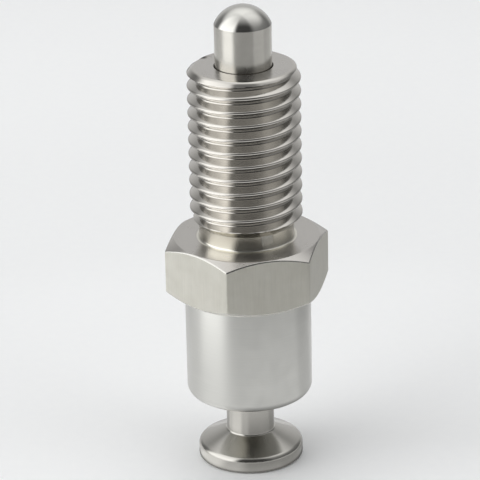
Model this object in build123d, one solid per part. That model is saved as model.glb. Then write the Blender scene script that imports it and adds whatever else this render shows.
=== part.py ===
"""Index plunger in stainless steel: a threaded body with a sprung pin and a pull knob.

It stands on the pull knob with the pin upwards, and +Z is the axis of the pin.
All sizes are in millimetres. Heights are measured from the face the knob stands on.
"""

import math
import os

from build123d import *

os.makedirs("parts", exist_ok=True)

# Pin
PIN_DIAMETER = 6.0
PIN_DOME_RADIUS = 3.25
PIN_PROJECTION = 6.55
COLLAR_DIAMETER = 7.9
COLLAR_THICKNESS = 2.5
COLLAR_CHAMFER = 0.25
STEM_DIAMETER = 4.4
TAIL_DIAMETER = 3.0
TAIL_CHAMFER = 0.3

# External thread, M12 x 1.5
THREAD_NOMINAL = 12.0
THREAD_PITCH = 1.5
THREAD_ALLOWANCE = 0.06
THREAD_LENGTH = 19.0
THREAD_FLANK_ANGLE = 30.0
THREAD_CREST_FLAT = THREAD_PITCH / 8
THREAD_DEPTH = 0.87
THREAD_START_ANGLE = 116.0
TOOL_OVERRUN = 0.12
TURN_OVERLAP = 1.02
LEAD_CHAMFER_ANGLE = 50.0
FRONT_FACE_DIAMETER = 10.76
FRONT_EDGE_RADIUS = 0.6
UNDERCUT_DIAMETER = 10.1
UNDERCUT_HEIGHT = 1.65
UNDERCUT_RAMP_ANGLE = 45.0
UNDERCUT_FILLET = 0.3

# Hexagon and sleeve
HEX_SIDES = 6
HEX_ACROSS_FLATS = 15.7
HEX_THICKNESS = 6.35
HEX_TURN = 15.7
HEX_CHAMFER_ANGLE = 30.0
HEX_TOP_FACE_DIAMETER = 15.45
HEX_REAR_FACE_DIAMETER = 14.8
SLEEVE_DIAMETER = 13.5
SLEEVE_LENGTH = 11.7
SLEEVE_EDGE_RADIUS = 1.0

# Bores of the body
BORE_OVERRUN = 1.0
PIN_CLEARANCE = 0.03
NOSE_BORE_LENGTH = 9.0
NOSE_BORE_CHAMFER = 0.2
SPRING_BORE_DIAMETER = 8.2
BUSH_DIAMETER = 10.0
BUSH_LENGTH = 4.0
BUSH_CHAMFER = 0.25
NECK_CLEARANCE = 0.05

# Spring
WIRE_DIAMETER = 0.8
WIRE_SIDES = 8
SPRING_DIAMETER = 7.5
SPRING_TURNS = 8
END_TURN_PITCH = 0.83
GROUND_DEPTH = 0.25

# Pull knob
KNOB_DIAMETER = 11.3
KNOB_RIM_HEIGHT = 1.2
KNOB_RIM_RADIUS = 0.65
KNOB_EDGE_RADIUS = 0.25
KNOB_SLOPE_ANGLE = 25.5
KNOB_NECK_DIAMETER = 5.17
KNOB_NECK_RADIUS = 0.25
KNOB_TO_SLEEVE = 7.6
KNOB_NECK_TOP = 20.0
KNOB_BORE_FLOOR = 6.0
TAIL_TO_FLOOR = 0.5

# Levels along the axis
SLEEVE_REAR = KNOB_TO_SLEEVE
HEX_REAR = SLEEVE_REAR + SLEEVE_LENGTH
HEX_SEAT = HEX_REAR + HEX_THICKNESS
FRONT_FACE = HEX_SEAT + THREAD_LENGTH
UNDERCUT_TOP = HEX_SEAT + UNDERCUT_HEIGHT
NOSE_BORE_REAR = FRONT_FACE - NOSE_BORE_LENGTH
BUSH_FRONT = SLEEVE_REAR + BUSH_LENGTH
COLLAR_REAR = NOSE_BORE_REAR - COLLAR_THICKNESS
PIN_TIP = FRONT_FACE + PIN_PROJECTION

# Radii
PIN_RADIUS = PIN_DIAMETER / 2
CREST_RADIUS = (THREAD_NOMINAL - THREAD_ALLOWANCE) / 2
ROOT_RADIUS = CREST_RADIUS - THREAD_DEPTH
UNDERCUT_RADIUS = UNDERCUT_DIAMETER / 2
NECK_RADIUS = KNOB_NECK_DIAMETER / 2
BUSH_RADIUS = BUSH_DIAMETER / 2


def turned(profile):
    """One turned solid from a list of (radius, height) corners."""
    face = make_face(Plane.XZ * Polyline(*profile, close=True))
    return revolve(face, Axis.Z)


def circle_edges(solid, radius, height):
    """The turned edges of a solid that lie at one radius and height."""
    found = [
        edge
        for edge in solid.edges().filter_by(GeomType.CIRCLE)
        if abs(edge.radius - radius) < 1e-3 and abs(edge.arc_center.Z - height) < 1e-3
    ]
    return ShapeList(found)


def thread_turn():
    """A little over one turn of the thread's groove, open past the crest."""
    tangent = math.tan(math.radians(THREAD_FLANK_ANGLE))
    half_open = (THREAD_PITCH - THREAD_CREST_FLAT) / 2
    half_root = half_open - (CREST_RADIUS - ROOT_RADIUS) * tangent
    half_outer = half_open + TOOL_OVERRUN * tangent
    outer = CREST_RADIUS + TOOL_OVERRUN
    section = Plane.XZ * Polyline(
        (ROOT_RADIUS, -half_root),
        (outer, -half_outer),
        (outer, half_outer),
        (ROOT_RADIUS, half_root),
        close=True,
    )
    path = Helix(THREAD_PITCH, THREAD_PITCH * TURN_OVERLAP, CREST_RADIUS)
    return sweep(make_face(section), path=path, is_frenet=True)


def threaded_end():
    """The threaded end: a turned blank with the groove cut one turn after another."""
    face = FRONT_FACE_DIAMETER / 2
    lead = (CREST_RADIUS - face) * math.tan(math.radians(LEAD_CHAMFER_ANGLE))
    ramp = (CREST_RADIUS - UNDERCUT_RADIUS) * math.tan(math.radians(UNDERCUT_RAMP_ANGLE))
    cut = turned(
        [
            (0, HEX_REAR),
            (UNDERCUT_RADIUS, HEX_REAR),
            (UNDERCUT_RADIUS, UNDERCUT_TOP),
            (CREST_RADIUS, UNDERCUT_TOP + ramp),
            (CREST_RADIUS, FRONT_FACE - lead),
            (face, FRONT_FACE),
            (0, FRONT_FACE),
        ]
    )
    cut = fillet(circle_edges(cut, face, FRONT_FACE), FRONT_EDGE_RADIUS)
    turn = Rot(0, 0, THREAD_START_ANGLE) * thread_turn()
    level = UNDERCUT_TOP - THREAD_PITCH / 2
    while level < FRONT_FACE:
        cut -= Pos(0, 0, level) * turn
        level += THREAD_PITCH
    return cut


def hexagon():
    """The spanner hexagon with a turned 30 degree chamfer at both faces."""
    apothem = HEX_ACROSS_FLATS / 2
    slope = math.tan(math.radians(HEX_CHAMFER_ANGLE))
    top = HEX_TOP_FACE_DIAMETER / 2
    rear = HEX_REAR_FACE_DIAMETER / 2
    outer = apothem / math.cos(math.pi / HEX_SIDES) + TOOL_OVERRUN
    outline = RegularPolygon(apothem, HEX_SIDES, major_radius=False, rotation=HEX_TURN)
    blank = extrude(outline, HEX_THICKNESS)
    turning = turned(
        [
            (0, 0),
            (rear, 0),
            (outer, (outer - rear) * slope),
            (outer, HEX_THICKNESS - (outer - top) * slope),
            (top, HEX_THICKNESS),
            (0, HEX_THICKNESS),
        ]
    )
    return Pos(0, 0, HEX_REAR) * (blank & turning)


def bores():
    """The stepped bore: pin guide, spring chamber and the seat of the rear bush."""
    guide = PIN_RADIUS + PIN_CLEARANCE
    mouth = guide + NOSE_BORE_CHAMFER
    chamber = SPRING_BORE_DIAMETER / 2
    return turned(
        [
            (0, SLEEVE_REAR - BORE_OVERRUN),
            (BUSH_RADIUS, SLEEVE_REAR - BORE_OVERRUN),
            (BUSH_RADIUS, BUSH_FRONT),
            (chamber, BUSH_FRONT),
            (chamber, NOSE_BORE_REAR),
            (guide, NOSE_BORE_REAR),
            (guide, FRONT_FACE - NOSE_BORE_CHAMFER),
            (mouth, FRONT_FACE),
            (mouth, FRONT_FACE + BORE_OVERRUN),
            (0, FRONT_FACE + BORE_OVERRUN),
        ]
    )


def threaded_body():
    """The body, machined in one piece: thread, undercut, hexagon and sleeve."""
    sleeve = Pos(0, 0, SLEEVE_REAR) * Cylinder(
        SLEEVE_DIAMETER / 2, SLEEVE_LENGTH, align=(Align.CENTER, Align.CENTER, Align.MIN)
    )
    sleeve = fillet(circle_edges(sleeve, SLEEVE_DIAMETER / 2, SLEEVE_REAR), SLEEVE_EDGE_RADIUS)
    body = threaded_end() + hexagon() + sleeve
    body = fillet(circle_edges(body, UNDERCUT_RADIUS, HEX_SEAT), UNDERCUT_FILLET)
    return body - bores()


def plunger_pin():
    """The pin: domed nose, guide shank, stop collar, stem and the tail for the knob."""
    cap = PIN_DOME_RADIUS - math.sqrt(PIN_DOME_RADIUS**2 - PIN_RADIUS**2)
    shank_end = PIN_TIP - cap
    collar = COLLAR_DIAMETER / 2
    stem = STEM_DIAMETER / 2
    tail = TAIL_DIAMETER / 2
    tail_end = KNOB_BORE_FLOOR + TAIL_TO_FLOOR
    outline = Plane.XZ * (
        Polyline(
            (0, PIN_TIP),
            (0, tail_end),
            (tail - TAIL_CHAMFER, tail_end),
            (tail, tail_end + TAIL_CHAMFER),
            (tail, KNOB_NECK_TOP),
            (stem, KNOB_NECK_TOP),
            (stem, COLLAR_REAR),
            (collar - COLLAR_CHAMFER, COLLAR_REAR),
            (collar, COLLAR_REAR + COLLAR_CHAMFER),
            (collar, NOSE_BORE_REAR - COLLAR_CHAMFER),
            (collar - COLLAR_CHAMFER, NOSE_BORE_REAR),
            (PIN_RADIUS, NOSE_BORE_REAR),
            (PIN_RADIUS, shank_end),
        )
        + RadiusArc((PIN_RADIUS, shank_end), (0, PIN_TIP), -PIN_DOME_RADIUS)
    )
    return revolve(make_face(outline), Axis.Z)


def compression_spring():
    """The spring at its fitted length, with closed ends ground flat."""
    mean = (SPRING_DIAMETER - WIRE_DIAMETER) / 2
    low = BUSH_FRONT + WIRE_DIAMETER / 2 - GROUND_DEPTH
    high = COLLAR_REAR - WIRE_DIAMETER / 2 + GROUND_DEPTH
    active = high - low - 2 * END_TURN_PITCH
    first = Pos(0, 0, low) * Helix(END_TURN_PITCH, END_TURN_PITCH, mean)
    middle = Pos(0, 0, low + END_TURN_PITCH) * Helix(active / SPRING_TURNS, active, mean)
    last = Pos(0, 0, high - END_TURN_PITCH) * Helix(END_TURN_PITCH, END_TURN_PITCH, mean)
    path = Wire([first.edge(), middle.edge(), last.edge()])
    across = Plane(origin=path @ 0, z_dir=path % 0)
    section = across * RegularPolygon(WIRE_DIAMETER / 2, WIRE_SIDES)
    coil = sweep(section, path=path, is_frenet=True, transition=Transition.TRANSFORMED)
    room = Pos(0, 0, BUSH_FRONT) * Cylinder(
        SPRING_DIAMETER, COLLAR_REAR - BUSH_FRONT, align=(Align.CENTER, Align.CENTER, Align.MIN)
    )
    return coil & room


def guide_bush():
    """The bush pressed into the rear of the sleeve: it backs the spring, guides the neck."""
    bore = NECK_RADIUS + NECK_CLEARANCE
    return turned(
        [
            (bore + BUSH_CHAMFER, SLEEVE_REAR),
            (BUSH_RADIUS, SLEEVE_REAR),
            (BUSH_RADIUS, BUSH_FRONT),
            (bore, BUSH_FRONT),
            (bore, SLEEVE_REAR + BUSH_CHAMFER),
        ]
    )


def pull_knob():
    """The knob: a sloped disc with a round shoulder on a neck bored for the pin's tail."""
    rim = KNOB_DIAMETER / 2
    tail = TAIL_DIAMETER / 2
    slope = math.radians(KNOB_SLOPE_ANGLE)
    cone_top = KNOB_RIM_HEIGHT + KNOB_RIM_RADIUS / math.cos(slope)
    cone_top += (rim - KNOB_RIM_RADIUS - NECK_RADIUS) * math.tan(slope)
    corner = cone_top - (rim - NECK_RADIUS) * math.tan(slope)
    body = turned(
        [
            (0, 0),
            (rim, 0),
            (rim, corner),
            (NECK_RADIUS, cone_top),
            (NECK_RADIUS, KNOB_NECK_TOP),
            (tail, KNOB_NECK_TOP),
            (tail, KNOB_BORE_FLOOR),
            (0, KNOB_BORE_FLOOR),
        ]
    )
    body = fillet(circle_edges(body, rim, corner), KNOB_RIM_RADIUS)
    body = fillet(circle_edges(body, rim, 0), KNOB_EDGE_RADIUS)
    return fillet(circle_edges(body, NECK_RADIUS, cone_top), KNOB_NECK_RADIUS)


PARTS = {
    "threaded_body": threaded_body,
    "plunger_pin": plunger_pin,
    "compression_spring": compression_spring,
    "guide_bush": guide_bush,
    "pull_knob": pull_knob,
}

for name, maker in PARTS.items():
    solid = maker()
    export_step(solid, f"parts/{name}.step")
    size = solid.bounding_box().size
    print(f"{name}: {size.X:.2f} x {size.Y:.2f} x {size.Z:.2f} mm, {solid.volume:.1f} mm3")
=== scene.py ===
# %% [markdown]
# # An index plunger in turned stainless steel
# This lesson builds the look of a small machined part, a sprung index plunger, in Blender.
# The shape comes in as a fixed CAD frame. Each visible piece is then built again as a clean
# mesh with true rounded edges, because polished metal shows every facet of a coarse mesh.
# Sizes are written in millimetres, as on a drawing, and turned to metres once, when a mesh is
# made. Heights count up from the face that the knob stands on.

import bmesh
import bpy
import math
from mathutils import Matrix, Vector


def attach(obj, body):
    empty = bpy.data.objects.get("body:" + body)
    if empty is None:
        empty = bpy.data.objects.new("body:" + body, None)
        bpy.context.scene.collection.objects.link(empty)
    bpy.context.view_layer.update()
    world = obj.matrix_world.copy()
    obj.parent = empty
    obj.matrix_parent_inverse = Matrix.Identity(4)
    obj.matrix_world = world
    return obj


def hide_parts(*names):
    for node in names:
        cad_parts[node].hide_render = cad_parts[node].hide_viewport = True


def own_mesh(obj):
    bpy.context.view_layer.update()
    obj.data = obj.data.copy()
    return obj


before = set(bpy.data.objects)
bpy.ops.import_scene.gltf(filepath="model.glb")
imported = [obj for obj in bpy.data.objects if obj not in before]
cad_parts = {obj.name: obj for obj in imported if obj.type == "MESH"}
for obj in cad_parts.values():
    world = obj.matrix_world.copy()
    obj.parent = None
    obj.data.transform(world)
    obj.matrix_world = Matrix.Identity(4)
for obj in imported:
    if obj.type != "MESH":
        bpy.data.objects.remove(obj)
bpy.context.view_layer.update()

# %% [markdown]
# ## Helpers
# Colours are written as sRGB hex, the way a colour picker shows them. Blender turns a hex
# value that is typed in by hand into linear light by itself, but takes a value that a script
# sets as linear already, so one function does that step here. One more function adds any
# shader node, sets its values and links its inputs, and each material reads like a recipe.

# %% Colour and node helpers
MM = 0.001


def colour(text):
    """sRGB hex to linear RGBA."""
    values = [int(text[i : i + 2], 16) / 255 for i in (1, 3, 5)]
    linear = [v / 12.92 if v <= 0.04045 else ((v + 0.055) / 1.055) ** 2.4 for v in values]
    return (*linear, 1.0)


def add(tree, kind, values=None, links=None, **settings):
    """Adds one shader node. values sets its inputs, links joins them to other sockets."""
    node = tree.nodes.new(kind)
    for name, value in settings.items():
        setattr(node, name, value)
    for name, value in (values or {}).items():
        node.inputs[name].default_value = value
    for name, socket in (links or {}).items():
        tree.links.new(socket, node.inputs[name])
    return node


def new_material(name):
    """An empty node material and its tree."""
    material = bpy.data.materials.new(name)
    material.use_nodes = True
    material.node_tree.nodes.clear()
    return material, material.node_tree


print("blue-grey #8090A0 is", [round(v, 3) for v in colour("#8090A0")])

# %% [markdown]
# ## Outlines with rounded corners
# A turned part is an outline spun round its axis. Real edges are never perfectly sharp: the
# tool and the tumbler leave a small radius, and that radius is what catches the light as a
# fine bright line. A Bevel modifier could round the edges afterwards, but it gives them all
# one width unless each edge is weighted. So each corner of an outline carries its own radius,
# and this function swaps the corner for a short arc before anything is spun.

# %% Round the corners of an outline
ARC_STEP = 0.06  # mm of arc from one row to the next
ARC_LEAST = 4  # steps that even the smallest arc gets


def rounded(corners):
    """(radius, height, corner radius) to (radius, height) points, each corner an arc."""
    points = []
    for i, (r, z, fillet) in enumerate(corners):
        if fillet <= 0 or i in (0, len(corners) - 1):
            points.append((r, z))
            continue
        here = Vector((r, z))
        back = (Vector(corners[i - 1][:2]) - here).normalized()
        ahead = (Vector(corners[i + 1][:2]) - here).normalized()
        half = math.acos(max(-1.0, min(1.0, back.dot(ahead)))) / 2
        centre = here + (back + ahead).normalized() * (fillet / math.sin(half))
        first = here + back * (fillet / math.tan(half)) - centre
        turn = math.pi - 2 * half
        side = 1 if back.x * ahead.y - back.y * ahead.x > 0 else -1
        steps = max(ARC_LEAST, round(turn * fillet / ARC_STEP))
        for k in range(steps + 1):
            angle = -side * turn * k / steps
            cosine, sine = math.cos(angle), math.sin(angle)
            x = centre.x + cosine * first.x - sine * first.y
            y = centre.y + sine * first.x + cosine * first.y
            points.append((x, y))
    return points


square = rounded([(1, 0, 0), (1, 1, 0.2), (0, 1, 0)])
print("a square corner of radius 0.2 becomes", len(square), "points")

# %% [markdown]
# ## Spinning, and a map that follows the tool
# Each row of a grid is a ring of points, and four neighbours make a face. A Screw modifier
# could spin an outline too, but this way the UV map comes out in millimetres: U runs round
# the part, the way the lathe tool travelled, and V runs along the outline, across the tool
# marks. The shaders use it twice: to draw the marks, and as the direction in which the steel
# is brushed, so highlights stretch across the marks as on a real lathe job.
# The weighted normals at the end keep the hexagon's large flats flat beside their thin
# rounded edges. The modifier leaves faces under about a square millimetre as they are, so
# smaller straights get extra rows close to their ends, which do the same for them.

# %% Grids to meshes
SAME_POINT = 2e-7  # metres: points closer than this are welded
NO_LENGTH = 1e-7  # metres: edges shorter than this are dissolved


def clean(mesh):
    """Welds the strips where their points meet, and turns all faces outwards."""
    work = bmesh.new()
    work.from_mesh(mesh)
    bmesh.ops.remove_doubles(work, verts=work.verts, dist=SAME_POINT)
    bmesh.ops.dissolve_degenerate(work, edges=work.edges, dist=NO_LENGTH)
    bmesh.ops.recalc_face_normals(work, faces=work.faces)
    work.to_mesh(mesh)
    work.free()


def grid_mesh(name, grids, body, sharp=60):
    """One piece from (rows, material) pairs, on its body of the mechanism. A row is a list of
    (x, y, z, u, v) in mm, and a bend of more than sharp degrees stays a crisp edge."""
    verts, faces, maps, slots, materials = [], [], [], [], []
    for rows, material in grids:
        if material not in materials:
            materials.append(material)
        slot = materials.index(material)
        width, start = len(rows[0]), len(verts)
        verts += [(p[0] * MM, p[1] * MM, p[2] * MM) for row in rows for p in row]
        for i in range(len(rows) - 1):
            for k in range(width - 1):
                quad = ((i, k), (i, k + 1), (i + 1, k + 1), (i + 1, k))
                faces.append([start + a * width + b for a, b in quad])
                maps += [value for a, b in quad for value in rows[a][b][3:5]]
                slots.append(slot)
    mesh = bpy.data.meshes.new(name)
    mesh.from_pydata(verts, [], faces)
    mesh.uv_layers.new(name="UVMap").data.foreach_set("uv", maps)
    mesh.polygons.foreach_set("material_index", slots)
    for material in materials:
        mesh.materials.append(material)
    clean(mesh)
    mesh.polygons.foreach_set("use_smooth", [True] * len(mesh.polygons))
    mesh.set_sharp_from_angle(angle=math.radians(sharp))
    piece = bpy.data.objects.new(name, mesh)
    bpy.context.scene.collection.objects.link(piece)
    weighted = piece.modifiers.new("weighted_normals", "WEIGHTED_NORMAL")
    weighted.weight = 100
    # The threshold compares face areas in square metres, so it has to be tiny here.
    weighted.thresh = 1e-9
    weighted.keep_sharp = True
    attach(piece, body)
    print(name, len(mesh.polygons), "faces")
    return piece


print("points closer than", round(SAME_POINT / MM, 6), "mm are welded")

# %% Spin an outline
COLUMNS = 160  # the same all over the body, so that its rings meet point to point
BACK = math.pi / 2  # the seam of each ring lies at the back


def spin(outline):
    """Rows for one spun outline of (radius, height) points."""
    rows, along = [], 0.0
    around = max(r for r, z in outline)
    for i, (r, z) in enumerate(outline):
        if i:
            along += math.dist(outline[i - 1], (r, z))
        row = []
        for k in range(COLUMNS + 1):
            turn = k / COLUMNS
            angle = BACK + math.tau * (turn % 1)
            row.append((r * math.cos(angle), r * math.sin(angle), z, turn * math.tau * around, along))
        rows.append(row)
    return rows


print("a ring of 6 mm radius has a point each", round(math.tau * 6 / COLUMNS, 3), "mm")

# %% [markdown]
# ## One steel, twelve finishes
# All the pieces are the same pale metal, so one recipe serves, with other numbers. Fine
# turning leaves grooves round the part. Light is mirrored sharply along a groove and smeared
# across it, which is what the anisotropy does: it gives the tall bright band with a crisp
# side edge. The grooves themselves are about 0.05 mm apart, too fine to show here, so they
# are drawn some 0.15 mm apart and very shallow. Drawn bar has its lines the other way.
# The marks could come from a picture of steel, but noise needs no file, and its scale can be
# worked out from a real size in millimetres.

# %% The recipe for steel
TURNED_DRAW, BAR_DRAW = 0.02, 0.03  # noise along the marks, as a share of that across them
MARK_TINT = 0.05  # share by which the marks are darker or lighter than the base colour
CLOUDS = 700.0  # clouds a metre, so one is about 1.4 mm across


def steel(name, base, rough, stretch, spacing, depth, mottle=0.03, grain="round"):
    """One stainless steel finish. rough is the gloss and stretch how far a highlight is drawn
    out across the marks. spacing and depth are those of the marks in mm, and mottle is how
    unevenly the surface shines. grain is "round" for a lathe's marks, "along" for those of a
    drawn bar, and "none" where no highlight is drawn out."""
    material, tree = new_material(name)
    uv = add(tree, "ShaderNodeUVMap", uv_map="UVMap").outputs["UV"]
    # Tool marks: noise squeezed across the marks and drawn long the other way.
    squeeze = (TURNED_DRAW / spacing, 1 / spacing, 1)
    if grain == "along":
        squeeze = (1 / spacing, BAR_DRAW / spacing, 1)
    marks_at = add(tree, "ShaderNodeMapping", {"Scale": squeeze}, {"Vector": uv})
    marks = add(
        tree,
        "ShaderNodeTexNoise",
        {"Scale": 1.0, "Detail": 3.0, "Roughness": 0.6},
        {"Vector": marks_at.outputs["Vector"]},
    )
    # Mottle: the faint clouds that handling and washing leave. Noise seldom leaves 0.3 to 0.7.
    where = add(tree, "ShaderNodeTexCoord").outputs["Object"]
    clouds = add(tree, "ShaderNodeTexNoise", {"Scale": CLOUDS, "Detail": 4.0}, {"Vector": where})
    gloss = add(
        tree,
        "ShaderNodeMapRange",
        {"From Min": 0.3, "From Max": 0.7, "To Min": rough - mottle, "To Max": rough + mottle},
        {"Value": clouds.outputs["Fac"]},
    )
    tint = add(tree, "ShaderNodeMix", {}, {"Factor": marks.outputs["Fac"]}, data_type="RGBA")
    pale = colour(base)[:3]
    tint.inputs["A"].default_value = (*[v * (1 - MARK_TINT) for v in pale], 1)
    tint.inputs["B"].default_value = (*[min(1, v * (1 + MARK_TINT)) for v in pale], 1)
    bump = add(
        tree,
        "ShaderNodeBump",
        {"Strength": 1.0, "Distance": depth * MM},
        {"Height": marks.outputs["Fac"]},
    )
    links = {
        "Base Color": tint.outputs["Result"],
        "Roughness": gloss.outputs["Result"],
        "Normal": bump.outputs["Normal"],
    }
    if grain == "round":
        tangent = add(tree, "ShaderNodeTangent", direction_type="UV_MAP", uv_map="UVMap")
        links["Tangent"] = tangent.outputs["Tangent"]
    # A quarter turn makes highlights stretch across the marks and not along them.
    values = {"Metallic": 1.0, "Anisotropic": stretch, "Anisotropic Rotation": 0.25}
    shader = add(tree, "ShaderNodeBsdfPrincipled", values, links)
    add(tree, "ShaderNodeOutputMaterial", links={"Surface": shader.outputs["BSDF"]})
    return material


print("a cloud is about", round(1 / CLOUDS / MM, 1), "mm across")

# %% The finishes
# The numbers after the colour are rough, stretch, spacing, depth and mottle.
# The pin is ground and polished: very shiny, with marks that can hardly be seen.
ground = steel("Ground_stainless_pin", "#D2D0C9", 0.22, 0.75, 0.12, 0.0004, 0.02)
# Its domed end was polished last, and mirrors the tent almost cleanly.
domed = steel("Polished_stainless_dome", "#D2D1CC", 0.13, 0.0, 0.12, 0.0002, 0.01, "none")
# The undercut is fine turned: still sharp side to side, smeared up and down.
turned = steel("Fine_turned_stainless", "#E4E1D6", 0.2, 0.75, 0.15, 0.0006, 0.02)
# The end faces were turned with a broad feed, which scatters the light a little more.
faced = steel("Faced_stainless", "#CDCAC5", 0.25, 0.8, 0.18, 0.0008, 0.03)
# The thread is cut in fine passes, so its flanks are clean and mirror each other crisply.
cut = steel("Cut_stainless_thread", "#CFCCC6", 0.13, 0.35, 0.12, 0.0004, 0.02)
# The hexagon is drawn bar, tumbled to an even satin, with faint die lines along it.
satin_flat = steel("Tumbled_stainless_hexagon", "#E7E6E0", 0.95, 0.0, 0.14, 0.004, 0.04, "along")
# Its edges were rubbed bright, so each shows as a fine light or dark line.
edge_steel = steel("Rubbed_stainless_edges", "#CCCBC6", 0.18, 0.0, 0.12, 0.0002, 0.02, "none")
# The sleeve is turned and then tumbled: satin, with only a trace of the lathe left.
satin = steel("Satin_turned_stainless_sleeve", "#CBCBC7", 0.34, 0.5, 0.12, 0.0006, 0.03)
# The knob is turned without the tumbling, so it is glossier than the sleeve above it.
knob_steel = steel("Turned_stainless_knob", "#C1BFB9", 0.18, 0.6, 0.14, 0.0004, 0.015)
# The bore is left unpolished. It and the chamfer at its mouth get a dark colour: painted shade for the
# shadow in the gap round the pin.
bore_shade_steel = steel("Painted_shade_stainless_bore", "#5C5852", 0.45, 0.0, 0.1, 0.0005, 0.05, "none")
# Drawn spring wire is darker, with die lines along its length.
wire = steel("Drawn_stainless_spring_wire", "#A9A8A4", 0.3, 0.0, 0.1, 0.001, 0.05, "none")
# The bush is turned like the sleeve, and only its rear ring can be seen, from below.
bush_steel = steel("Turned_stainless_bush", "#C6C5C0", 0.3, 0.5, 0.12, 0.001, 0.04)
print("materials:", [m.name for m in bpy.data.materials])

# %% [markdown]
# ## The thread
# A thread could be faked with bump, but here it fills a third of the picture and its edge
# shows against the background, so it is modelled. The trick is to lay the mesh along the
# helix: each row of vertices climbs one pitch per turn, so a crest or a root is always a
# clean row of edges and never a staircase. The outline of one pitch is repeated turn after
# turn, and every point is held inside the blank that was turned before the thread was cut,
# which makes the lead chamfer at the nose and the ramp down to the undercut by itself.

# %% Sizes of the thread and of its blank
PITCH = 1.5
CREST_R, CREST_FLAT, CREST_EDGE = 5.97, PITCH / 8, 0.15  # radius, width of the flat, corner
ROOT_R, ROOT_EDGE = 5.1, 0.2
# A metric thread has 30 degrees. Opened a little, the flanks shade more like the photo's.
FLANK_ANGLE = 34
THREAD_PHASE = 0.942  # height of a crest at the front, less whole pitches
FRONT_FACE = 44.65
# The lead chamfer would meet the front face at FACE_R, and a radius of FACE_EDGE rounds it.
FACE_R, FACE_EDGE, LEAD_ANGLE = 5.38, 0.6, 50
EDGE_BEND = math.radians(LEAD_ANGLE)
FACE_FLAT_R = FACE_R - FACE_EDGE * math.tan(EDGE_BEND / 2)
FACE_ARC_END = FRONT_FACE - FACE_EDGE * (1 - math.cos(EDGE_BEND))
UNDERCUT_R, UNDERCUT_TOP, UNDERCUT_FILLET = 5.05, 27.3, 0.3
RAMP_ANGLE = 45
print("front face flat to r", round(FACE_FLAT_R, 3), "and its arc ends at z", round(FACE_ARC_END, 3))


# %% Outline of one pitch, inside the blank
def thread_outline():
    """(height, radius) over one pitch, from one crest to the next, corners rounded."""
    flank = (CREST_R - ROOT_R) * math.tan(math.radians(FLANK_ANGLE))
    top = CREST_FLAT / 2
    corners = [
        (top - PITCH, CREST_R, 0),
        (top, CREST_R, CREST_EDGE),
        (top + flank, ROOT_R, ROOT_EDGE),
        (PITCH - top - flank, ROOT_R, ROOT_EDGE),
        (PITCH - top, CREST_R, CREST_EDGE),
        (PITCH + top, CREST_R, 0),
    ]
    # The first and the last corner only say which way the crests run on.
    return rounded(corners)[1:-1]


def blank_radius(z):
    """Radius of the turned blank at a height: rounded lead chamfer, plain middle and ramp."""
    if z > FACE_ARC_END:
        drop = z - (FRONT_FACE - FACE_EDGE)
        return FACE_FLAT_R + math.sqrt(max(0.0, FACE_EDGE**2 - drop**2))
    lead = FACE_R + (FRONT_FACE - z) / math.tan(EDGE_BEND)
    ramp = UNDERCUT_R + (z - UNDERCUT_TOP) / math.tan(math.radians(RAMP_ANGLE))
    return min(CREST_R, lead, ramp)


print("one pitch has", len(thread_outline()), "points before it is divided")

# %% Rows along the helix
GUARD = 0.05  # mm from the end of a straight to its guard row
FINE_STEP, COARSE_STEP = 0.07, 1.2  # mm between rows where the thread runs out, and between
RUN_OUT_TURNS, LEAD_TURNS = 2, 2.5  # turns with fine rows at the undercut and at the nose


def refine(points, step):
    """The same outline with no gap longer than step. A long straight that stays whole gets a
    guard row close to each end, so that its shading stays flat between the rounded corners."""
    out = [points[0]]
    for a, b in zip(points, points[1:]):
        gap = math.dist(a, b)
        count = max(1, math.ceil(gap / step))
        shares = [k / count for k in range(1, count + 1)]
        if count == 1 and gap > 4 * GUARD:
            shares = [GUARD / gap, 1 - GUARD / gap, 1]
        out += [(a[0] + (b[0] - a[0]) * s, a[1] + (b[1] - a[1]) * s) for s in shares]
    return out


def helix_row(turns_before, height, radius, along):
    """One row that climbs a pitch in its turn, held inside the blank."""
    row = []
    for k in range(COLUMNS + 1):
        turn = k / COLUMNS
        angle = BACK + math.tau * (turn % 1)
        # The height is stated at the front, a half turn from the seam at the back.
        z = height + PITCH * (turn - 0.5)
        z = min(FRONT_FACE, max(UNDERCUT_TOP, z))
        held = min(radius, blank_radius(z)) if z < FRONT_FACE else FACE_FLAT_R
        x, y = held * math.cos(angle), held * math.sin(angle)
        row.append((x, y, z, (turn + turns_before) * math.tau * CREST_R, along))
    return row


def thread_rows():
    """Helical rows from the undercut to the front face, finer where the thread runs out."""
    plain = thread_outline()
    # A few turns more than fit are laid, and what lies past the ends is held at the ends.
    first = math.floor((UNDERCUT_TOP - THREAD_PHASE) / PITCH) - 2
    last = math.ceil((FRONT_FACE - THREAD_PHASE) / PITCH) + 1
    rows = []
    for n in range(first, last + 1):
        level = THREAD_PHASE + n * PITCH
        runs_out = level < UNDERCUT_TOP + RUN_OUT_TURNS * PITCH
        leads_in = level > FRONT_FACE - LEAD_TURNS * PITCH
        outline = refine(plain, FINE_STEP if runs_out or leads_in else COARSE_STEP)
        along = 0.0
        for i, (h, r) in enumerate(outline):
            if i:
                along += math.dist(outline[i - 1], (h, r))
            rows.append(helix_row(n, level + h, r, along))
    return rows


thread = thread_rows()
print("the thread has", len(thread), "rows, each", COLUMNS, "faces long")

# %% [markdown]
# ## The hexagon
# A hexagon is turned too: the lathe puts a 30 degree cone on each end of the bar, and where
# that cone meets the six flats it leaves the curved edges that every nut has. A Boolean cut
# would give the same form, but also long thin faces that shade badly. So the flats are made
# as rows round the part, with the height of each edge worked out from the cone at that
# angle. A tiny rounded strip between cone and flat carries the highlight.

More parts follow.
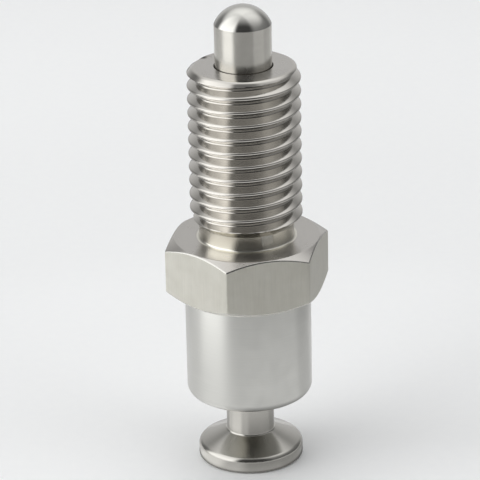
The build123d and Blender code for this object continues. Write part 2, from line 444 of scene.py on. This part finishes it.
# %% Sizes of the hexagon, and its radius all round
HEX_FLAT_R = 7.85  # from the axis to a flat
HEX_TURN = 15.7  # degrees from the X axis to the first corner
HEX_CORNER = 0.2  # radius of the corner between two flats
HEX_SEAT, HEX_REAR = 25.65, 19.3  # heights of the two faces
HEX_TOP_R, HEX_REAR_R = 7.725, 7.4  # where the cones start on the two faces
CONE_SLOPE = math.tan(math.radians(30))
SLEEVE_R = 6.75
HALF_SIDE = 30  # degrees from a corner to the middle of a flat


def hexagon_angles():
    """Angles round the hexagon, closer together at the rounded corners."""
    near = [0, 0.25, 0.5, 0.75, 1.0, 1.3, 1.8, 2.6, 4]
    angles = []
    for corner in range(0, 360, 60):
        angles += [corner + a for a in near]
        angles += [corner + a for a in range(6, 55, 3)]
        angles += [corner + 60 - a for a in reversed(near[1:])]
    return angles + [360]


def hexagon_radius(degrees):
    """Distance from the axis to the flat at an angle from a corner, corners rounded."""
    away = abs((degrees + HALF_SIDE) % 60 - HALF_SIDE)
    flat = HEX_FLAT_R / math.cos(math.radians(HALF_SIDE - away))
    centre = (HEX_FLAT_R - HEX_CORNER) / math.cos(math.radians(HALF_SIDE))
    a = math.radians(away)
    inside = HEX_CORNER**2 - (centre * math.sin(a)) ** 2
    if inside < 0:
        return flat
    arc = centre * math.cos(a) + math.sqrt(inside)
    reach = centre + HEX_CORNER * math.cos(math.radians(HALF_SIDE))
    tangent = math.degrees(math.atan(HEX_CORNER / 2 / reach))
    return arc if away < tangent else flat


print("across flats", 2 * HEX_FLAT_R, "and across corners", round(2 * hexagon_radius(0), 2), "mm")


# %% Rows round the hexagon
def hexagon_row(place):
    """One row round the hexagon. place turns its full radius at an angle into (r, z)."""
    row = []
    for degrees in hexagon_angles():
        r, z = place(hexagon_radius(degrees))
        turn = math.radians(degrees + HEX_TURN)
        u = math.radians(degrees) * HEX_FLAT_R
        row.append((r * math.cos(turn), r * math.sin(turn), z, u, z + r))
    return row


def top_edge(r):
    """Height of the front cone at a radius."""
    return HEX_SEAT - max(0.0, r - HEX_TOP_R) * CONE_SLOPE


def rear_edge(r):
    """Height of the rear cone at a radius."""
    return HEX_REAR + max(0.0, r - HEX_REAR_R) * CONE_SLOPE


def cone_row(least, wanted):
    """A row on the front cone, at the wanted radius or at the least one."""

    def place(full):
        r = max(HEX_TOP_R + least, wanted(full))
        return r, top_edge(r)

    return hexagon_row(place)


print("at a corner the front cone drops", round(HEX_SEAT - top_edge(hexagon_radius(0)), 2), "mm")

# %% Strips of the hexagon
STRIP = 0.09  # width of the rounded strip along an edge
STRIP_IN, STRIP_DOWN = 0.3, 0.2  # place of the strip's middle row, as shares of its width
BEND = 0.03  # half the width of the bend between a face and its cone
# The flat ring's rows, with a guard row at each end and one between them.
TOP_RING = [UNDERCUT_R + UNDERCUT_FILLET, 5.4, 6.5, HEX_TOP_R - 0.1, HEX_TOP_R - BEND]
STRIP_GUARD = 0.02  # how close to the strip the row after the bend may come
# At the middle of a flat the cone is only a hair wide, so its three outer rows keep at least
# these distances from its start: after the bend, before the strip and at the strip.
after_bend, before_strip, at_strip = 0.034, 0.037, 0.04

cone_end = hexagon_row(lambda full: (max(HEX_TOP_R + at_strip, full - STRIP), top_edge(full - STRIP)))
flat_top = hexagon_row(lambda full: (full, top_edge(full) - STRIP))
flat_rear = hexagon_row(lambda full: (full, rear_edge(full) + STRIP))
rear_start = hexagon_row(lambda full: (full - STRIP, rear_edge(full - STRIP)))
hexagon = {
    "top": [hexagon_row(lambda full, r=r: (r, HEX_SEAT)) for r in TOP_RING],
    "cone": [
        hexagon_row(lambda full: (HEX_TOP_R - BEND, HEX_SEAT)),
        hexagon_row(lambda full: (HEX_TOP_R + BEND, HEX_SEAT - BEND * CONE_SLOPE)),
        cone_row(after_bend, lambda full: min(HEX_TOP_R + (BEND + GUARD), full - STRIP - STRIP_GUARD)),
        cone_row(before_strip, lambda full: full - STRIP - GUARD),
        cone_end,
    ],
    "top edge": [
        cone_end,
        hexagon_row(lambda full: (full - STRIP * STRIP_IN, top_edge(full) - STRIP * STRIP_DOWN)),
        flat_top,
    ],
    "side": [
        flat_top,
        hexagon_row(lambda full: (full, (HEX_SEAT + HEX_REAR) / 2)),
        flat_rear,
    ],
    "rear edge": [
        flat_rear,
        hexagon_row(lambda full: (full - STRIP * STRIP_IN, rear_edge(full) + STRIP * STRIP_DOWN)),
        rear_start,
    ],
    "rear": [
        rear_start,
        hexagon_row(lambda full: (HEX_REAR_R + BEND, HEX_REAR + BEND * CONE_SLOPE)),
        hexagon_row(lambda full: (HEX_REAR_R - BEND, HEX_REAR)),
        hexagon_row(lambda full: (SLEEVE_R, HEX_REAR)),
    ],
}
print("the hexagon has", len(flat_top) - 1, "faces round it and", len(hexagon), "strips")

# %% [markdown]
# ## The threaded body
# One bar, one piece: the nose face with its bore, the thread, the undercut, the hexagon and
# the sleeve. They could be separate objects, but a bar has one skin, so the strips are put
# together in one mesh, each with the finish of its operation. The hexagon has angles of its
# own, so its inner rings only touch the undercut's and the sleeve's.

# %% Sizes of the bores and the sleeve
# The chamfer at the mouth of the pin's bore is finer than the solid's, so that no more than a
# hairline shows round the pin.
BORE_R, BORE_MOUTH = 3.03, 0.08
MOUTH_EDGES = (0.03, 0.02)  # corner radii of that chamfer, inside and outside
MOUTH_DEPTH = 4  # how far down the bore the mouth's strip goes
FACE_START = BORE_R + BORE_MOUTH + 0.03  # where the face's strip takes over from the mouth's
FACE_ROWS = (3.6, 4.2)  # radii of two rows that divide the front face
SLEEVE_REAR, SLEEVE_EDGE = 7.6, 1.0  # height of its rear face, and the rounded edge there
CHAMBER_R, NOSE_BORE_REAR = 4.1, 35.65  # the spring's chamber, and the height of its end
BUSH_R, BUSH_FRONT = 5.0, 11.6  # the seat that the guide bush is pressed into
SEAT_CHAMFER, INNER_EDGE = 0.1, 0.05
print("the wall round the spring is", round(SLEEVE_R - CHAMBER_R, 2), "mm thick")

# %% Strips of the mouth, the face, the undercut and the sleeve
mouth = spin(rounded([
    (BORE_R, FRONT_FACE - MOUTH_DEPTH, 0),
    (BORE_R, FRONT_FACE - BORE_MOUTH, MOUTH_EDGES[0]),
    (BORE_R + BORE_MOUTH, FRONT_FACE, MOUTH_EDGES[1]),
    (FACE_START, FRONT_FACE, 0),
]))
face = spin([(r, FRONT_FACE) for r in (FACE_START, *FACE_ROWS, FACE_FLAT_R)])
undercut = spin(rounded([
    (UNDERCUT_R, UNDERCUT_TOP, 0),
    (UNDERCUT_R, HEX_SEAT, UNDERCUT_FILLET),
    (UNDERCUT_R + UNDERCUT_FILLET, HEX_SEAT, 0),
]))
sleeve = spin(rounded([
    (SLEEVE_R, HEX_REAR, 0),
    (SLEEVE_R, SLEEVE_REAR, SLEEVE_EDGE),
    (BUSH_R + SEAT_CHAMFER, SLEEVE_REAR, INNER_EDGE),
    (BUSH_R, SLEEVE_REAR + SEAT_CHAMFER, INNER_EDGE),
    (BUSH_R, BUSH_FRONT, INNER_EDGE),
    (CHAMBER_R, BUSH_FRONT, INNER_EDGE),
    (CHAMBER_R, NOSE_BORE_REAR, INNER_EDGE),
    (BORE_R, NOSE_BORE_REAR, INNER_EDGE),
    (BORE_R, FRONT_FACE - MOUTH_DEPTH, 0),
]))
print("rows of mouth, face, undercut and sleeve:", [len(s) for s in (mouth, face, undercut, sleeve)])

# %% Build the threaded body
body = grid_mesh(
    "threaded_body_look",
    [
        # The bore's dark steel is painted shade in the gap round the pin.
        (mouth, bore_shade_steel),
        (face, faced),
        (thread, cut),
        (undercut, turned),
        (hexagon["top"], faced),
        (hexagon["cone"], faced),
        (hexagon["top edge"], edge_steel),
        (hexagon["side"], satin_flat),
        (hexagon["rear edge"], edge_steel),
        (hexagon["rear"], satin_flat),
        (sleeve, satin),
    ],
    "housing",
)
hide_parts("threaded_body")

# %% [markdown]
# ## The plunger pin
# A ground bar with a domed end, which finds its way into the hole that it locks. Inside the
# body it goes on as a stop collar, a stem through the spring and a thin tail for the knob.
# The dome is a shallower curve than the pin's radius, so a crisp ring shows where the two
# meet. A scaled sphere could make the dome, but as an outline it shares its columns with the
# shank, and a low limit for sharp edges keeps the ring crisp.

# %% Build the pin
PIN_R, PIN_TIP, DOME_R = 3.0, 51.2, 3.25  # radius, height of the tip, radius of the dome
DOME_STEPS = 32
COLLAR_R, COLLAR_REAR, COLLAR_CHAMFER = 3.95, 33.15, 0.25
COLLAR_FRONT = NOSE_BORE_REAR  # at rest it stops against the end of the spring's chamber
STEM_R, TAIL_R, TAIL_END, TAIL_CHAMFER = 2.2, 1.5, 6.5, 0.3
NECK_TOP = 20.0  # where the knob's neck ends, inside the body
RING_ANGLE = 12  # degrees: the bend between dome and shank is sharper than this

dome_height = DOME_R - math.sqrt(DOME_R**2 - PIN_R**2)
dome = []
for k in range(DOME_STEPS + 1):
    angle = math.asin(PIN_R / DOME_R) * (1 - k / DOME_STEPS)
    dome.append((DOME_R * math.sin(angle), PIN_TIP - DOME_R + DOME_R * math.cos(angle)))
shank = [
    (STEM_R, COLLAR_REAR),
    (COLLAR_R - COLLAR_CHAMFER, COLLAR_REAR),
    (COLLAR_R, COLLAR_REAR + COLLAR_CHAMFER),
    (COLLAR_R, COLLAR_FRONT - COLLAR_CHAMFER),
    (COLLAR_R - COLLAR_CHAMFER, COLLAR_FRONT),
    (PIN_R, COLLAR_FRONT),
    (PIN_R, PIN_TIP - dome_height),
]
stem = [
    (0.0, TAIL_END),
    (TAIL_R - TAIL_CHAMFER, TAIL_END),
    (TAIL_R, TAIL_END + TAIL_CHAMFER),
    (TAIL_R, NECK_TOP),
    (STEM_R, NECK_TOP),
    (STEM_R, COLLAR_REAR),
]
pin_strips = [(spin(stem), ground), (spin(shank), ground), (spin(dome), domed)]
pin = grid_mesh("plunger_pin_look", pin_strips, "plunger", RING_ANGLE)
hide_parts("plunger_pin")
print("the pin stands out", round(PIN_TIP - FRONT_FACE, 2), "mm and is", 2 * PIN_R, "mm thick")

# %% [markdown]
# ## The pull knob
# Disc and neck are turned in one piece, and the neck's bore takes the tail of the pin. The
# disc slopes down to a large round shoulder, which carries a bright line round the knob. It
# could be a cone and two cylinders joined by a Boolean, but their edges would stay sharp. So
# the knob is one outline again, with a radius of its own at each corner.

# %% Build the knob
KNOB_R, NECK_R = 5.65, 2.585
KNOB_RIM, RIM_RADIUS = 1.2, 0.65  # height at which the shoulder starts, and its radius
KNOB_SLOPE = math.radians(25.5)
KNOB_BORE_FLOOR = 6.0
BASE_EDGE, NECK_FILLET, NECK_EDGE = 0.25, 0.25, 0.05

slope_run = KNOB_R - RIM_RADIUS - NECK_R
cone_top = KNOB_RIM + RIM_RADIUS / math.cos(KNOB_SLOPE) + slope_run * math.tan(KNOB_SLOPE)
rim_corner = cone_top - (KNOB_R - NECK_R) * math.tan(KNOB_SLOPE)
knob_rows = spin(rounded([
    (0.0, 0.0, 0),
    (KNOB_R, 0.0, BASE_EDGE),
    (KNOB_R, rim_corner, RIM_RADIUS),
    (NECK_R, cone_top, NECK_FILLET),
    (NECK_R, NECK_TOP, NECK_EDGE),
    (TAIL_R, NECK_TOP, 0),
    (TAIL_R, KNOB_BORE_FLOOR, 0),
    (0.0, KNOB_BORE_FLOOR, 0),
]))
knob = grid_mesh("pull_knob_look", [(knob_rows, knob_steel)], "plunger")
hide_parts("pull_knob")
print("the disc's slope meets the neck at z", round(cone_top, 2), "mm")

# %% [markdown]
# ## The guide bush
# A ring pressed into the rear of the sleeve. It closes the spring's chamber and guides the
# knob's neck. Only its rear ring can be seen, from below, so a closed outline with a chamfer
# at the mouth is all it needs.

# %% Build the bush
BUSH_BORE_R = 2.635
BUSH_EDGE, BUSH_CHAMFER, CHAMFER_EDGE = 0.1, 0.25, 0.03

bush_rows = spin(rounded([
    (BUSH_R, BUSH_FRONT, 0),
    (BUSH_R, SLEEVE_REAR, BUSH_EDGE),
    (BUSH_BORE_R + BUSH_CHAMFER, SLEEVE_REAR, CHAMFER_EDGE),
    (BUSH_BORE_R, SLEEVE_REAR + BUSH_CHAMFER, CHAMFER_EDGE),
    (BUSH_BORE_R, BUSH_FRONT, 0),
    (BUSH_R, BUSH_FRONT, 0),
]))
bush = grid_mesh("guide_bush_look", [(bush_rows, bush_steel)], "housing")
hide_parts("guide_bush")
print("the neck has", round(BUSH_BORE_R - NECK_R, 3), "mm of play on each side")

# %% [markdown]
# ## The spring
# A coil is a circle swept along a helix. A curve with a round bevel would draw it as well, but not the
# ends of this one: a closed turn at each end, ground flat to sit square, with eight open turns between.
# So its rows are circles that lean with the wire, and their points stop at the ground ends. The spring
# gets shorter as the knob is pulled, down to the room that is left behind the collar at the end of the
# stroke. Here it is built at rest, with a mesh of its own.

# %% Rows round the wire
WIRE_R, COIL_R = 0.4, 3.35
OPEN_TURNS, CLOSED_PITCH = 8, 0.83  # open turns, and the pitch of the closed turn at each end
GROUND_DEPTH = 0.25  # how much of the wire is ground away at each end
COIL_STEPS, WIRE_SIDES = 40, 16  # circles in a turn, and points in a circle


def coil_rows():
    """Rows of (x, y, z, u, v) round the wire, from the bush to the collar."""
    low = BUSH_FRONT + WIRE_R - GROUND_DEPTH
    high = COLLAR_REAR - WIRE_R + GROUND_DEPTH
    open_pitch = (high - low - 2 * CLOSED_PITCH) / OPEN_TURNS
    rows = []
    count = (OPEN_TURNS + 2) * COIL_STEPS
    for i in range(count + 1):
        turn = i / COIL_STEPS
        closed = turn < 1 or turn > OPEN_TURNS + 1
        height = low + CLOSED_PITCH * min(turn, 1) + open_pitch * max(0, min(turn - 1, OPEN_TURNS))
        height += CLOSED_PITCH * max(0, turn - 1 - OPEN_TURNS)
        lean = math.atan((CLOSED_PITCH if closed else open_pitch) / (math.tau * COIL_R))
        angle = math.tau * turn
        outward = Vector((math.cos(angle), math.sin(angle), 0))
        tilt = math.sin(lean)
        upward = Vector((tilt * math.sin(angle), -tilt * math.cos(angle), math.cos(lean)))
        centre = COIL_R * outward + Vector((0, 0, height))
        # The first and the last circle are doubled by a point, which closes the wire's ends.
        radii = [WIRE_R]
        if i == 0:
            radii = [0, WIRE_R]
        if i == count:
            radii = [WIRE_R, 0]
        for radius in radii:
            row = []
            for k in range(WIRE_SIDES + 1):
                a = math.tau * (k % WIRE_SIDES) / WIRE_SIDES
                p = centre + radius * (math.cos(a) * outward + math.sin(a) * upward)
                z = min(COLLAR_REAR, max(BUSH_FRONT, p.z))
                row.append((p.x, p.y, z, turn * math.tau * COIL_R, k / WIRE_SIDES * math.tau * WIRE_R))
            rows.append(row)
    return rows


coil = coil_rows()
print("the wire has", len(coil), "circles of", WIRE_SIDES, "points")

spring = grid_mesh("compression_spring_look", [(coil, wire)], "turning_spring")
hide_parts("compression_spring")
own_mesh(spring)

# %% [markdown]
# ## Floor
# The part stands on matt white paper. A plane would end in a horizon, so the sheet sweeps up
# far behind the part, and only a soft shadow says where the floor is.

# %% Floor
FIBRES = 900.0  # fibre clouds a metre, so one is about 1.1 mm across
FLOOR_HALF_WIDTH, FLOOR_FRONT, FLOOR_BACK = 600, -450, 700
SWEEP_R, WALL_TOP = 150, 600  # the sweep's radius, and the height of the wall behind
SWEEP_STEPS = 12


def paper():
    """Matt white paper: rough, with a tone that wanders by a level or two."""
    material, tree = new_material("Matt_white_paper")
    where = add(tree, "ShaderNodeTexCoord").outputs["Object"]
    fibre = add(tree, "ShaderNodeTexNoise", {"Scale": FIBRES, "Detail": 3.0}, {"Vector": where})
    tone = add(tree, "ShaderNodeMix", {}, {"Factor": fibre.outputs["Fac"]}, data_type="RGBA")
    tone.inputs["A"].default_value = colour("#F3F4F5")
    tone.inputs["B"].default_value = colour("#F6F7F7")
    tinted = {"Base Color": tone.outputs["Result"]}
    shader = add(tree, "ShaderNodeBsdfPrincipled", {"Roughness": 0.8}, tinted)
    add(tree, "ShaderNodeOutputMaterial", links={"Surface": shader.outputs["BSDF"]})
    return material


def sheet_object(name, rows, material):
    """A sheet of quads from rows of (x, y, z) in mm."""
    width = len(rows[0])
    verts = [(x * MM, y * MM, z * MM) for row in rows for x, y, z in row]
    faces = [
        (i * width + k, i * width + k + 1, (i + 1) * width + k + 1, (i + 1) * width + k)
        for i in range(len(rows) - 1)
        for k in range(width - 1)
    ]
    mesh = bpy.data.meshes.new(name)
    mesh.from_pydata(verts, [], faces)
    mesh.materials.append(material)
    mesh.polygons.foreach_set("use_smooth", [True] * len(faces))
    sheet = bpy.data.objects.new(name, mesh)
    bpy.context.scene.collection.objects.link(sheet)
    return sheet


# The points at 150 and at 200 mm only divide the sheet.
floor_line = [(y, 0.0) for y in (FLOOR_FRONT, -150, 150, FLOOR_BACK)]
for k in range(1, SWEEP_STEPS + 1):
    angle = math.pi / 2 / SWEEP_STEPS * k
    floor_line.append((FLOOR_BACK + SWEEP_R * math.sin(angle), SWEEP_R * (1 - math.cos(angle))))
floor_line.append((FLOOR_BACK + SWEEP_R, WALL_TOP))
floor_across = (-FLOOR_HALF_WIDTH, -200, 200, FLOOR_HALF_WIDTH)
floor_rows = [[(x, y, z) for x in floor_across] for y, z in floor_line]
floor = sheet_object("floor_sheet", floor_rows, paper())
print("floor sheet", len(floor.data.polygons), "faces")

# %% [markdown]
# ## Light
# Three large panels, the left one brightest, light the floor and throw the part's soft
# shadow on it. A panel is an area lamp, and its power follows from its size and from how
# bright it should look. The metal could mirror the lamps too, but then no highlight could be
# moved without changing the light on the floor. So they are hidden from mirror reflections,
# and the next step builds what the metal sees.


# %% Light panels
def panel(name, centre, aim, width, height, radiance):
    """A softbox as an area lamp, placed and aimed in metres."""
    data = bpy.data.lights.new(name, "AREA")
    data.shape = "RECTANGLE"
    data.size, data.size_y = width, height
    data.energy = radiance * math.pi * width * height
    lamp = bpy.data.objects.new(name, data)
    lamp.location = centre
    lamp.rotation_euler = (Vector(aim) - Vector(centre)).to_track_quat("-Z", "Y").to_euler()
    lamp.visible_glossy = False
    bpy.context.scene.collection.objects.link(lamp)
    print(name, "gives", round(data.energy, 3), "W")


# name, centre, aim, width, height, radiance
panel("left_panel", (-0.60, -0.32, 0.425), (0.0, -0.32, 0.178), 0.90, 0.84, 1.63)
panel("right_panel", (0.60, -0.39, 0.44), (0.0, -0.39, 0.178), 0.71, 0.74, 0.85)
panel("top_panel", (0.0, 0.22, 0.55), (0.0, 0.22, 0.0), 0.60, 0.80, 1.46)

# A dim world fills the shadows.
world = bpy.data.worlds.new("Dim_studio")
bpy.context.scene.world = world
world.use_nodes = True
world.node_tree.nodes["Background"].inputs["Color"].default_value = colour("#707070")
world.node_tree.nodes["Background"].inputs["Strength"].default_value = 1.0

# %% [markdown]
# ## What the metal sees
# Polished steel has hardly any colour of its own: it mirrors what stands round it. Here that
# is a white tent with a bright left wall, a dim right wall, a grey one behind, a dark front
# and a bright ceiling, and on the floor a set of boards, the brightest at the left. A picture
# of a studio could stand round the part instead, but no single band of it could be moved. So
# tent and boards are plain sheets whose points carry a glow, and the glow is laid out by
# direction: the azimuth is counted in degrees from the camera's side towards the right, the
# elevation from the floor up. Only mirror reflections see these sheets, so apart from the
# paper's faint sheen the floor takes no light or shade from them.


# %% Soft windows
def window(value, low, high, soft):
    """1 from low to high, fading smoothly to 0 over soft beyond them."""
    gap = min(1.0, max(low - value, value - high, 0.0) / soft)
    return 1 - gap * gap * (3 - 2 * gap)


def sector(azimuth, low, high, soft):
    """The same window for a turn, so that it may lie across the back or the front."""
    turned = (azimuth - (low + high) / 2 + 180) % 360 - 180
    return window(turned, (low - high) / 2, (high - low) / 2, soft)


print("half way down a fade a window is", window(1.5, 0, 1, 1))

# %% Glow of the tent
FRONT_GLOW = 0.06
TENT_WALLS = [
    # from, to, softness, glow at the floor, glow gained per degree up
    (110, 250, 20, 0.2, 0.0),  # the corners behind
    (162, 198, 34, 0.62, 0.0),  # the back wall between them
    (57, 112, 28, 0.13, 0.005),  # the right wall
]
LEFT_WALL, LEFT_WALL_UP = (-98, -45, 20), (-10, 36, 57)  # sector, and window up the wall
LEFT_GLOW, LEFT_LOW_GLOW, LEFT_LOW_UP = 1.55, 0.2, (-10, 22, 14)  # glow, and what is added low down
CEILING_GLOW = 1.64
CEILING_ACROSS = (-0.52, 0.25, 1.68)  # from, to and softness, in heights of the ceiling
CEILING_FROM, CEILING_TO = (0.91, 9, 1.81), (-9, -0.12, 1.56)  # its fades to front and back
LOWEST_RAY = 5  # degrees: rays lower than this count as this steep


def tent_glow(azimuth, elevation):
    """Brightness of the tent: the dark front, then the walls, then the ceiling over them."""
    glow = FRONT_GLOW
    for low, high, soft, bright, gain in TENT_WALLS:
        glow += (bright + gain * elevation - glow) * sector(azimuth, low, high, soft)
    left = sector(azimuth, *LEFT_WALL) * window(elevation, *LEFT_WALL_UP)
    glow += (LEFT_GLOW + LEFT_LOW_GLOW * window(elevation, *LEFT_LOW_UP) - glow) * left
    # The ceiling is flat, so it is laid out by where a ray meets it, in units of its height.
    # It is brightest a little behind the part and fades towards its edges.
    steep = 1 / math.tan(math.radians(max(elevation, LOWEST_RAY)))
    across = steep * math.sin(math.radians(azimuth))
    back = -steep * math.cos(math.radians(azimuth))
    ceiling = window(across, *CEILING_ACROSS) * window(back, *CEILING_FROM) * window(back, *CEILING_TO)
    return glow + (CEILING_GLOW - glow) * ceiling


for azimuth in (-70, 0, 70, 180):
    print("azimuth", azimuth, "tent", [round(tent_glow(azimuth, e), 2) for e in (10, 40, 70)])

# %% Glow of the boards
# Round most of the part the rings within 9 mm are dimmer than those beyond, and the first is nearly
# black: painted shade for the part's own shadow on the floor round its foot.
BOARD_REACH = (5.7, 6.2, 9, 20, 49, 60, 90, 115, 140, 175, 420)
BOARDS = [
    # from, to, softness, glow at each reach
    (-180, 180, 1, (0.05, 0.50, 0.32, 0.96, 0.95, 0.27, 0.16, 0.60, 0.72, 0.25, 0.25)),  # all round
    (135, 250, 10, (0.05, 0.45, 0.50, 0.85, 0.86, 0.35, 0.40, 0.76, 0.76, 0.35, 0.35)),  # back
    (92, 130, 10, (0.05, 0.35, 0.32, 0.68, 0.68, 0.12, 0.15, 0.60, 0.66, 0.40, 0.40)),  # right behind
    (46, 86, 10, (0.05, 0.42, 0.36, 0.92, 0.88, 0.30, 0.20, 0.70, 0.85, 0.50, 0.50)),  # right
    (-110, -88, 8, (0.05, 0.70, 0.90, 0.84, 0.76, 1.25, 0.50, 0.68, 0.85, 0.40, 0.10)),  # left behind
    (-50, -22, 22, (0.05, 0.80, 0.62, 0.92, 0.88, 0.30, 0.20, 0.60, 0.60, 0.40, 0.40)),  # left middle
    (-80, -50, 18, (0.05, 1.15, 1.12, 0.92, 0.80, 3.10, 2.30, 1.05, 0.95, 1.10, 1.00)),  # left
]


def floor_glow(azimuth, ring):
    """Brightness of the boards in one ring round the part."""
    glow = 0.0
    for low, high, soft, glows in BOARDS:
        glow += (glows[ring] - glow) * sector(azimuth, low, high, soft)
    return glow


for azimuth in (-70, 0, 70, 180):
    rings = range(len(BOARD_REACH))
    print("azimuth", azimuth, "boards", [round(floor_glow(azimuth, ring), 2) for ring in rings])

# %% Tent and boards
TENT_R, TENT_HEIGHT = 420, 30  # the dome's radius, and how high its centre is
BOARD_HEIGHT = 0.03  # just over the floor
AZIMUTHS = range(-180, 181, 2)
ELEVATIONS = range(-4, 91, 2)


def glow_sheet(name, rows):
    """A sheet from rows of (x, y, z, glow) in mm that only glossy rays see."""
    material, tree = new_material(name + "_surface")
    level = add(tree, "ShaderNodeAttribute", attribute_name="glow").outputs["Fac"]
    light = add(tree, "ShaderNodeEmission", {"Color": (1, 1, 1, 1)}, {"Strength": level})
    add(tree, "ShaderNodeOutputMaterial", links={"Surface": light.outputs["Emission"]})
    sheet = sheet_object(name, [[p[:3] for p in row] for row in rows], material)
    glow = sheet.data.attributes.new("glow", "FLOAT", "POINT")
    glow.data.foreach_set("value", [p[3] for row in rows for p in row])
    sheet.visible_camera = False
    sheet.visible_diffuse = False
    sheet.visible_shadow = False
    sheet.visible_transmission = False
    return sheet


tent_rows = []
for elevation in ELEVATIONS:
    e = math.radians(elevation)
    row = []
    for azimuth in AZIMUTHS:
        a = math.radians(azimuth)
        x, y = TENT_R * math.cos(e) * math.sin(a), -TENT_R * math.cos(e) * math.cos(a)
        row.append((x, y, TENT_HEIGHT + TENT_R * math.sin(e), tent_glow(azimuth, elevation)))
    tent_rows.append(row)
tent = glow_sheet("reflection_tent", tent_rows)
board_rows = []
for ring, reach in enumerate(BOARD_REACH):
    row = []
    for azimuth in AZIMUTHS:
        a = math.radians(azimuth)
        row.append((reach * math.sin(a), -reach * math.cos(a), BOARD_HEIGHT, floor_glow(azimuth, ring)))
    board_rows.append(row)
boards = glow_sheet("reflection_boards", board_rows)
print("tent", len(tent.data.polygons), "faces, boards", len(boards.data.polygons), "faces")

# %% [markdown]
# ## Camera
# A long lens looks down at about 22 degrees from some 32 cm away, and the picture leans by a
# little over a degree, as in the photo. The camera could be placed by eye, but a part with
# straight sides shows every error. So its numbers come from fitting the turned outline to
# the photo: focal length in pixels of a 480 pixel picture, and the camera's place in mm.

# %% Camera
PICTURE_PX, SENSOR_MM = 480, 36
FOCAL_PX, PITCH_DEG, ROLL_DEG = 2967.5, 22.455, -1.21
EYE = Vector((-0.669, -291.75, 145.56)) * MM
NUDGE_RIGHT_PX, NUDGE_UP_PX = 0.65, 0.2  # how far the picture moves at the end

pitch, roll = math.radians(PITCH_DEG), math.radians(ROLL_DEG)
forward = Vector((0, math.cos(pitch), -math.sin(pitch)))
side, up = Vector((1, 0, 0)), Vector((0, math.sin(pitch), math.cos(pitch)))
right = side * math.cos(roll) + up * math.sin(roll)
above = up * math.cos(roll) - side * math.sin(roll)
# A last nudge of a pixel's fraction, measured at the edges of the first render.
forward = (forward - right * NUDGE_RIGHT_PX / FOCAL_PX + above * NUDGE_UP_PX / FOCAL_PX).normalized()
right = forward.cross(above).normalized()
above = right.cross(forward)
camera_data = bpy.data.cameras.new("camera")
camera_data.sensor_width = SENSOR_MM
camera_data.lens = FOCAL_PX / PICTURE_PX * SENSOR_MM
camera_data.clip_start, camera_data.clip_end = 0.01, 10
camera = bpy.data.objects.new("camera", camera_data)
camera.matrix_world = Matrix.Translation(EYE) @ Matrix((right, above, -forward)).transposed().to_4x4()
bpy.context.scene.collection.objects.link(camera)
bpy.context.scene.camera = camera
bpy.context.scene.view_settings.view_transform = "Standard"
print("lens", round(camera_data.lens, 1), "mm on a", SENSOR_MM, "mm sensor")
